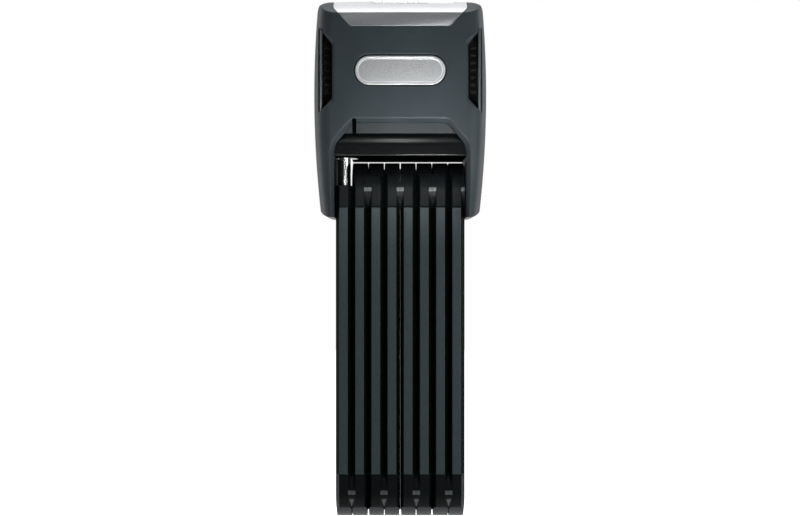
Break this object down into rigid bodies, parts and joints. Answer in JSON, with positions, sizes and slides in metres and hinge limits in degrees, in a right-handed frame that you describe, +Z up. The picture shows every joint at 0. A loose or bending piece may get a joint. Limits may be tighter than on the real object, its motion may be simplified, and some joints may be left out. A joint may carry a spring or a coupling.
{
  "type": "folding bike lock",
  "caption": "Folding bicycle lock: riveted, coated steel bars folded under a rounded lock body with a sounder, key cylinder and locking rod.",
  "frame": {"origin": "on the lock body's flat back, at its middle and level with its widest section", "axes": "+X to the right seen from the front, +Y out of the back, +Z up, from the folded links to the silver cover"},
  "size_m": [0.0852, 0.042, 0.261],
  "materials": {
    "shell_plastic": "satin moulded",
    "silver_cover": "satin silver lacquer",
    "badge_metal": "blasted field, polished rim",
    "case_gloss": "gloss black",
    "frame_plastic": "matt",
    "hard_steel": "machined",
    "rod_chrome": "chromed",
    "link_coat": "fine grained soft coat",
    "link_cover": "smooth semi-gloss",
    "rivet_steel": "blackened",
    "plug_brass": "turned",
    "screen_cloth": "black mesh",
    "siren_plastic": "moulded",
    "battery_case": "plain sleeve",
    "board_laminate": "solder mask"
  },
  "bodies": {
    "lock_body": {"front_shell": "shell_plastic", "rear_shell": "shell_plastic", "top_cover": "silver_cover", "badge_plate": "badge_metal", "lock_case": "case_gloss", "rod_socket": "hard_steel", "inner_frame": "frame_plastic", "pivot_bracket": "hard_steel", "cylinder_housing": "hard_steel", "vent_grille_left": "shell_plastic", "vent_grille_right": "shell_plastic", "vent_screen_left": "screen_cloth", "vent_screen_right": "screen_cloth", "siren": "siren_plastic", "battery": "battery_case", "circuit_board": "board_laminate", "housing_screws": "rivet_steel", "rivet_body": "rivet_steel"},
    "keyhole_cover": {"keyhole_slider": "silver_cover"},
    "key_cylinder": {"key_plug": "plug_brass", "plug_cam": "hard_steel"},
    "bolt": {"locking_bolt": "hard_steel"},
    "link_8": {"link_8_core": "hard_steel", "link_8_sleeve": "link_coat", "link_8_covers": "link_cover", "rivet_7_8": "rivet_steel"},
    "link_7": {"link_7_core": "hard_steel", "link_7_sleeve": "link_coat", "link_7_covers": "link_cover", "rivet_6_7": "rivet_steel"},
    "link_6": {"link_6_core": "hard_steel", "link_6_sleeve": "link_coat", "link_6_covers": "link_cover", "rivet_5_6": "rivet_steel"},
    "link_5": {"link_5_core": "hard_steel", "link_5_sleeve": "link_coat", "link_5_covers": "link_cover", "rivet_4_5": "rivet_steel"},
    "link_4": {"link_4_core": "hard_steel", "link_4_sleeve": "link_coat", "link_4_covers": "link_cover", "rivet_3_4": "rivet_steel"},
    "link_3": {"link_3_core": "hard_steel", "link_3_sleeve": "link_coat", "link_3_covers": "link_cover", "rivet_2_3": "rivet_steel"},
    "link_2": {"link_2_core": "hard_steel", "link_2_sleeve": "link_coat", "link_2_covers": "link_cover", "rivet_1_2": "rivet_steel"},
    "link_1": {"link_1_core": "hard_steel", "link_1_sleeve": "link_coat", "link_1_covers": "link_cover", "locking_rod": "rod_chrome"}
  },
  "joints": [
    {"name": "link_8_pivot", "type": "hinge", "parent": "lock_body", "child": "link_8", "pos_m": [0, -0.021, -0.049], "axis": [-1, 0, 0], "range_deg": [0, 90]},
    {"name": "link_7_pivot", "type": "hinge", "parent": "link_8", "child": "link_7", "pos_m": [0, -0.021, -0.199], "axis": [-1, 0, 0], "range_deg": [0, 180]},
    {"name": "link_6_pivot", "type": "hinge", "parent": "link_7", "child": "link_6", "pos_m": [0, -0.021, -0.049], "axis": [-1, 0, 0], "range_deg": [0, 90]},
    {"name": "link_5_pivot", "type": "hinge", "parent": "link_6", "child": "link_5", "pos_m": [0, -0.021, -0.199], "axis": [-1, 0, 0], "range_deg": [0, 180]},
    {"name": "link_4_pivot", "type": "hinge", "parent": "link_5", "child": "link_4", "pos_m": [0, -0.021, -0.049], "axis": [-1, 0, 0], "range_deg": [0, 90]},
    {"name": "link_3_pivot", "type": "hinge", "parent": "link_4", "child": "link_3", "pos_m": [0, -0.021, -0.199], "axis": [-1, 0, 0], "range_deg": [0, 180]},
    {"name": "link_2_pivot", "type": "hinge", "parent": "link_3", "child": "link_2", "pos_m": [0, -0.021, -0.049], "axis": [-1, 0, 0], "range_deg": [0, 90]},
    {"name": "link_1_pivot", "type": "hinge", "parent": "link_2", "child": "link_1", "pos_m": [0, -0.021, -0.199], "axis": [-1, 0, 0], "range_deg": [0, 180]},
    {"name": "cover_slide", "type": "slide", "parent": "lock_body", "child": "keyhole_cover", "axis": [1, 0, 0], "range_m": [0, 0.0134]},
    {"name": "key_turn", "type": "hinge", "parent": "lock_body", "child": "key_cylinder", "pos_m": [-0.005, -0.021, 0.02], "axis": [0, 0, 1], "range_deg": [0, 90]},
    {"name": "bolt_slide", "type": "slide", "parent": "lock_body", "child": "bolt", "axis": [-1, 0, 0], "range_m": [0, 0.0064]}
  ],
  "couplings": [
    {"joint": "bolt_slide", "follows": "key_turn", "m_per_rad": 0.00407}
  ]
}
